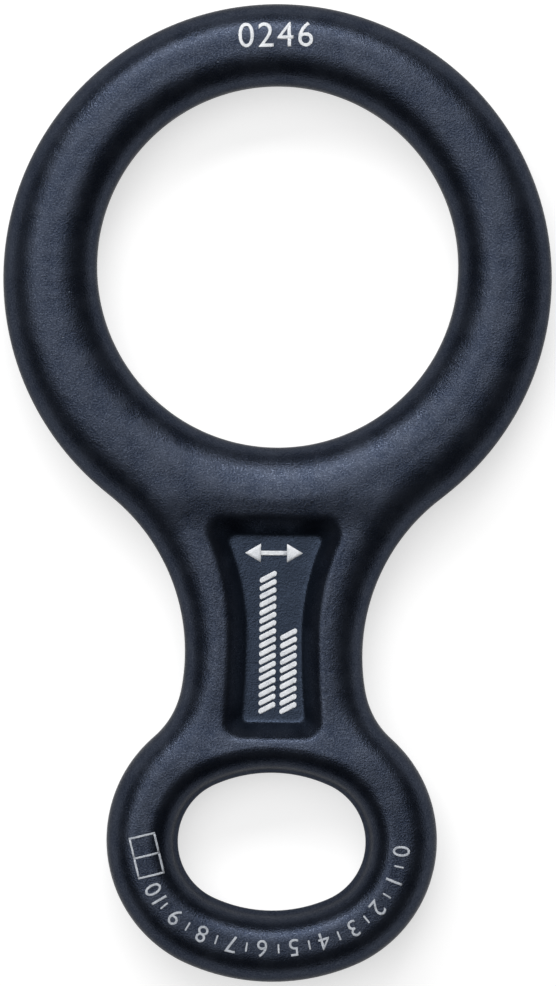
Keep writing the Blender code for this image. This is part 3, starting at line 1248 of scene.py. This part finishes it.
@dataclass
class OpenPanels:
    """Two open panels that share a side, at the left of the eye ring."""

    middle: Vector = field(default_factory=lambda: Vector((-17.2 * MM, -50.1 * MM)))
    width: float = 3.7
    height: float = 2.8
    stroke: float = 0.26
    turn: float = math.radians(14)

    def plan(self) -> bpy.types.Mesh:
        """Draws the panels flat, as three level bars and two upright ones.

        Returns:
            The flat mesh.
        """
        artwork = FlatArtwork()
        side, half = self.width / 2, self.stroke / 2
        for y in (-self.height, 0.0, self.height):
            bar = [(-side, y - half), (side, y - half), (side, y + half), (-side, y + half)]
            artwork.polygon(bar, self.middle, self.turn)
        for x in (-side + half, side - half):
            for y in (-self.height, 0.0):
                low, high = y + half, y + self.height - half
                bar = [(x - half, low), (x + half, low), (x + half, high), (x - half, high)]
                artwork.polygon(bar, self.middle, self.turn)
        return artwork.mesh("open_panels_plan")


@dataclass
class LaserMarks:
    """Every mark on the front face. All are plain numerals and signs."""

    forging: Forging
    surface: bpy.types.Object
    bold: bpy.types.Material
    faint: bpy.types.Material
    way: LaserMark = field(default_factory=LaserMark)

    def build(self) -> list[bpy.types.Object]:
        """Makes the marks.

        Returns:
            One piece for each mark.
        """
        lay = self.way.lay_tree()
        sign, dial = RopeSign(), EyeDial(self.forging)
        drawn = self.way.marks_tree("drawn_marks", lay)
        strands = self.way.marks_tree("rope_strands", lay, sign.pattern)
        ticks = self.way.marks_tree("dial_ticks", lay, dial.pattern)
        made = [
            ("ring_number", drawn, RingNumber().plan(), self.bold),
            ("load_arrow", drawn, LoadArrow().plan(), self.bold),
            ("rope_sign", strands, sign.plan(), self.bold),
            ("dial_numerals", drawn, dial.plan(), self.faint),
            ("dial_ticks", ticks, dial.tick_plan(), self.faint),
            ("open_panels", drawn, OpenPanels().plan(), self.faint),
        ]
        return [
            run_tree(tree, name, plan, {"Surface": self.surface, "Finish": finish}, finish)
            for name, tree, plan, finish in made
        ]


class SurfaceEffects:
    """Shader groups that more than one finish uses."""

    def __init__(self) -> None:
        """Builds the groups."""
        self.grain = self.grain_group()
        self.nicks = self.nicks_group()

    def grain_group(self) -> Tree:
        """Builds the grain that tumbling leaves: a fine pebble, over a slower unevenness.

        Returns:
            The group.
        """
        tree = Tree("tumbled_grain", Kind.SHADER)
        grain = tree.takes("Grain", "Float", 0.3 * MM)
        patch = tree.takes("Patch", "Float", 3.0 * MM)
        place = tree.node("ShaderNodeTexCoord").outputs["Object"]
        fine = {"Vector": place, "Scale": tree.math("DIVIDE", 1.0, grain), "Detail": 2.5, "Roughness": 0.6}
        slow = {"Vector": place, "Scale": tree.math("DIVIDE", 1.0, patch), "Detail": 3.0, "Roughness": 0.55}
        pebble = tree.node("ShaderNodeTexNoise", fine).outputs[0]
        uneven = tree.node("ShaderNodeTexNoise", slow).outputs[0]
        tree.gives("Pebble", "Float", tree.ramp(pebble, 0.3, 0.7))
        tree.gives("Uneven", "Float", tree.ramp(uneven, 0.3, 0.7))
        return tree

    def nicks_group(self) -> Tree:
        """Builds a sparse scatter of small nicks, as a mask.

        Returns:
            The group.
        """
        tree = Tree("small_nicks", Kind.SHADER)
        spacing = tree.takes("Spacing", "Float", 3.0 * MM)
        size = tree.takes("Size", "Float", 0.12)
        share = tree.takes("Share", "Float", 0.25)
        place = tree.node("ShaderNodeTexCoord").outputs["Object"]
        warp = tree.node("ShaderNodeTexNoise", {"Vector": place, "Scale": 1 / (0.5 * MM), "Detail": 2.0})
        shift = tree.node(
            "ShaderNodeVectorMath", {0: warp.outputs["Color"], "Scale": 0.45 * MM}, operation="SCALE"
        ).outputs[0]
        warped = tree.vector("ADD", place, shift)
        crowding = tree.math("DIVIDE", 1.0, spacing)
        cells = tree.node("ShaderNodeTexVoronoi", {"Vector": warped, "Scale": crowding})
        near = tree.ramp(cells.outputs["Distance"], tree.math("MULTIPLY", size, 0.4), size, 1.0, 0.0)
        lot = tree.node("ShaderNodeSeparateColor", {0: cells.outputs["Color"]}).outputs[0]
        tree.gives("Mask", "Float", tree.math("MULTIPLY", near, tree.math("LESS_THAN", lot, share)))
        return tree


class Painter:
    """The node tree of one material."""

    def __init__(self, name: str) -> None:
        """Starts a material with one Principled shader.

        Args:
            name: The material's name.
        """
        self.material = bpy.data.materials.new(name)
        self.material.use_nodes = True
        self.tree = self.material.node_tree
        self.shader = self.tree.nodes["Principled BSDF"]

    def node(self, kind: str, inputs: Inputs = None, **settings: object) -> bpy.types.Node:
        """Adds a node and sets or links its inputs.

        Args:
            kind: The node's type.
            inputs: Values or sockets for its inputs, by name or place.
            **settings: The node's own properties.

        Returns:
            The node.
        """
        made = self.tree.nodes.new(kind)
        for key, value in settings.items():
            setattr(made, key, value)
        for key, value in (inputs or {}).items():
            self.feed(made.inputs[key], value)
        return made

    def feed(self, target: Socket, value: object) -> None:
        """Links a socket, or sets a plain value.

        Args:
            target: The input socket.
            value: A socket to link from, or the value to set.
        """
        if isinstance(value, bpy.types.NodeSocket):
            self.tree.links.new(value, target)
        else:
            target.default_value = value

    def effect(self, group: Tree, **values: object) -> bpy.types.Node:
        """Places a shared effect with this material's own values.

        Args:
            group: The effect.
            **values: Its inputs, by name.

        Returns:
            The group's node.
        """
        made = self.node("ShaderNodeGroup", node_tree=group.group)
        for key, value in values.items():
            self.feed(made.inputs[key], value)
        return made

    def math(self, operation: str, *values: object, clamp: bool = False) -> Socket:
        """Returns the result of a Math node.

        Args:
            operation: What it works out.
            *values: Its operands, as numbers or sockets.
            clamp: Whether the result is kept between 0 and 1.

        Returns:
            The result.
        """
        made = self.node("ShaderNodeMath", dict(enumerate(values)), operation=operation, use_clamp=clamp)
        return made.outputs[0]

    def mix(self, share: object, first: object, second: object) -> Socket:
        """Returns a mix of two colours.

        Args:
            share: How much of the second colour there is.
            first: The first colour.
            second: The second colour.

        Returns:
            The mixed colour.
        """
        made = self.node("ShaderNodeMix", data_type="RGBA")
        for socket, value in zip((made.inputs[0], made.inputs[6], made.inputs[7]), (share, first, second)):
            self.feed(socket, value)
        return made.outputs[2]

    def bump(self, height: Socket, distance: float, under: Socket | None = None) -> Socket:
        """Returns the normal that a height gives, over another normal where there is one.

        Args:
            height: The height, from 0 to 1.
            distance: How far 1 stands proud.
            under: The normal that it is laid over.

        Returns:
            The normal.
        """
        made = self.node("ShaderNodeBump", {"Height": height, "Distance": distance, "Strength": 1.0})
        if under:
            self.feed(made.inputs["Normal"], under)
        return made.outputs[0]


@dataclass(frozen=True)
class AnodisedFinish:
    """Navy dye sealed in the oxide of tumbled aluminium: satin, with a fine grain. The recess is given a
    darker colour, as painted shade.
    """

    effects: SurfaceEffects
    name: str = "navy_anodised"
    dye: Colour = (0.014, 0.020, 0.036)
    thin_dye: Colour = (0.047, 0.056, 0.078)
    # Painted shade: a darker colour for the recess, in place of the shade that its walls cast.
    recess_painted_shade: Colour = (0.024, 0.033, 0.052)
    bared: Colour = (0.10, 0.115, 0.14)
    metallic: float = 0.85
    edge_tint: Colour = (0.4, 0.4, 0.4)
    ior: float = 1.6
    roughness: float = 0.34
    recess_roughness: float = 0.03
    grain: float = 0.23 * MM
    grain_depth: float = 0.019 * MM
    patch: float = 3.2 * MM
    patch_depth: float = 0.030 * MM

    def material(self) -> bpy.types.Material:
        """Builds the material.

        Returns:
            The material.
        """
        painter = Painter(self.name)
        shader = painter.shader
        shader.inputs["Metallic"].default_value = self.metallic
        shader.inputs["IOR"].default_value = self.ior
        shader.inputs["Specular Tint"].default_value = (*self.edge_tint, 1)
        grain = painter.effect(self.effects.grain, Grain=self.grain, Patch=self.patch)
        nicks = painter.effect(self.effects.nicks, Spacing=4.2 * MM, Size=0.055, Share=0.30)
        pebble, uneven, mask = grain.outputs["Pebble"], grain.outputs["Uneven"], nicks.outputs["Mask"]
        recess = painter.node("ShaderNodeAttribute", attribute_name="sink").outputs["Fac"]
        worn = painter.math("MULTIPLY_ADD", pebble, 0.6, painter.math("MULTIPLY", uneven, 0.4))
        dye = painter.mix(worn, (*self.dye, 1), (*self.thin_dye, 1))
        # Painted shade: the recess takes the darker colour, deeper down more, in place of the shade that
        # falls in it.
        dye = painter.mix(recess, dye, (*self.recess_painted_shade, 1))
        bared = painter.math("MULTIPLY", mask, 0.6)
        painter.feed(shader.inputs["Base Color"], painter.mix(bared, dye, (*self.bared, 1)))
        matt = painter.math("MULTIPLY", recess, self.recess_roughness)
        varied = painter.math("MULTIPLY_ADD", uneven, 0.06, self.roughness + 0.03)
        spotted = painter.math("MULTIPLY_ADD", pebble, -0.16, painter.math("ADD", varied, matt))
        painter.feed(shader.inputs["Roughness"], spotted)
        slow = painter.bump(uneven, self.patch_depth)
        dented = painter.bump(painter.math("MULTIPLY", mask, -1.0), 0.03 * MM, slow)
        painter.feed(shader.inputs["Normal"], painter.bump(pebble, self.grain_depth, dented))
        return painter.material


@dataclass(frozen=True)
class LaserWhite:
    """Dye bleached by a laser: a chalky white, a little broken up by the grain under it."""

    effects: SurfaceEffects
    name: str = "laser_white"
    white: Colour = (0.80, 0.82, 0.85)
    broken: Colour = (0.42, 0.45, 0.50)
    roughness: float = 0.6

    def material(self) -> bpy.types.Material:
        """Builds the material.

        Returns:
            The material.
        """
        painter = Painter(self.name)
        shader = painter.shader
        shader.inputs["Metallic"].default_value = 0.0
        grain = painter.effect(self.effects.grain, Grain=0.16 * MM, Patch=1.2 * MM)
        pebble, uneven = grain.outputs["Pebble"], grain.outputs["Uneven"]
        share = painter.math("MULTIPLY", painter.math("MULTIPLY", pebble, uneven), 0.8)
        painter.feed(shader.inputs["Base Color"], painter.mix(share, (*self.white, 1), (*self.broken, 1)))
        painter.feed(shader.inputs["Roughness"], painter.math("MULTIPLY_ADD", pebble, 0.1, self.roughness))
        painter.feed(shader.inputs["Normal"], painter.bump(pebble, 0.004 * MM))
        return painter.material


@dataclass(frozen=True)
class FloorPaper:
    """Matt pale paper that shows white behind the object and keeps its shadow."""

    name: str = "floor_paper"
    pale: Colour = (0.50, 0.50, 0.50)
    glow: float = 0.64

    def material(self) -> bpy.types.Material:
        """Builds the material.

        Returns:
            The material.
        """
        painter = Painter(self.name)
        shader = painter.shader
        shader.inputs["Base Color"].default_value = (*self.pale, 1)
        shader.inputs["Roughness"].default_value = 0.95
        shader.inputs["Specular IOR Level"].default_value = 0.0
        rays = painter.node("ShaderNodeLightPath").outputs
        seen = painter.math("MAXIMUM", rays["Is Camera Ray"], rays["Is Glossy Ray"])
        seen = painter.math("MAXIMUM", seen, rays["Is Transmission Ray"])
        shader.inputs["Emission Color"].default_value = (1, 1, 1, 1)
        painter.feed(shader.inputs["Emission Strength"], painter.math("MULTIPLY", seen, self.glow))
        return painter.material


@dataclass(frozen=True)
class Lamp:
    """A soft rectangular lamp that points at the object."""

    name: str
    tilt: float
    aside: float
    distance: float
    width: float
    length: float
    power: float

    def build(self) -> None:
        """Hangs the lamp, tilted from overhead towards +Y and moved aside towards +X."""
        data = bpy.data.lights.new(self.name, "AREA")
        data.shape = "RECTANGLE"
        data.size = self.width
        data.size_y = self.length
        data.energy = self.power
        tilt = math.radians(self.tilt)
        place = Vector((self.aside, self.distance * math.sin(tilt), self.distance * math.cos(tilt)))
        lamp = bpy.data.objects.new(self.name, data)
        lamp.location = place
        lamp.rotation_euler = (-place).to_track_quat("-Z", "Y").to_euler()
        bpy.context.scene.collection.objects.link(lamp)


@dataclass
class Studio:
    """A pale floor, soft lamps overhead and a camera that looks straight down."""

    mid_plane: float = 6.0 * MM
    camera_height: float = 0.9
    shown_height: float = FRAME_HEIGHT * SHOWN_PER_ROW
    roll: float = math.radians(0.6)
    aside: float = 0.37 * MM
    floor_half: float = 3.0
    world_level: float = 0.04
    lamps: tuple[Lamp, ...] = (
        Lamp("key", 46, -0.2, 1.3, 1.3, 0.34, 13.0),
        Lamp("overhead", 12, -0.2, 1.3, 1.6, 0.80, 10.5),
    )

    def camera(self) -> None:
        """Makes the camera."""
        data = bpy.data.cameras.new("camera")
        data.sensor_fit = "VERTICAL"
        data.sensor_height = 24
        data.lens = 24 * self.camera_height / self.shown_height
        camera = bpy.data.objects.new("camera", data)
        camera.location = (self.aside, 0, self.mid_plane + self.camera_height)
        camera.rotation_euler = (0, 0, self.roll)
        bpy.context.scene.collection.objects.link(camera)
        bpy.context.scene.camera = camera

    def floor(self) -> None:
        """Lays the floor."""
        half = self.floor_half
        mesh = bpy.data.meshes.new("floor")
        corners = [(-half, -half, 0), (half, -half, 0), (half, half, 0), (-half, half, 0)]
        mesh.from_pydata(corners, [], [(0, 1, 2, 3)])
        mesh.materials.append(FloorPaper().material())
        floor = bpy.data.objects.new("floor", mesh)
        bpy.context.scene.collection.objects.link(floor)

    def build(self) -> None:
        """Sets up the whole studio."""
        scene = bpy.context.scene
        scene.view_settings.view_transform = "Standard"
        world = bpy.data.worlds.new("studio")
        world.use_nodes = True
        background = world.node_tree.nodes["Background"]
        background.inputs["Color"].default_value = (1, 1, 1, 1)
        background.inputs["Strength"].default_value = self.world_level
        scene.world = world
        self.floor()
        for lamp in self.lamps:
            lamp.build()
        self.camera()


def main() -> None:
    """Builds every piece of the descender, then the studio around it."""
    logging.basicConfig(level=logging.INFO, format="%(name)s: %(message)s")
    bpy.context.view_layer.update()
    effects = SurfaceEffects()
    forging = Forging()
    body = forging.build(AnodisedFinish(effects).material())
    bold = LaserWhite(effects).material()
    faint = LaserWhite(effects, "laser_grey", (0.52, 0.55, 0.60), (0.16, 0.18, 0.22)).material()
    marks = LaserMarks(forging, body, bold, faint).build()
    for piece in (body, *marks):
        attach(piece, BODY)
        log.info("%s: %d vertices", piece.name, len(piece.data.vertices))
    Studio().build()


if __name__ == "__main__":
    main()
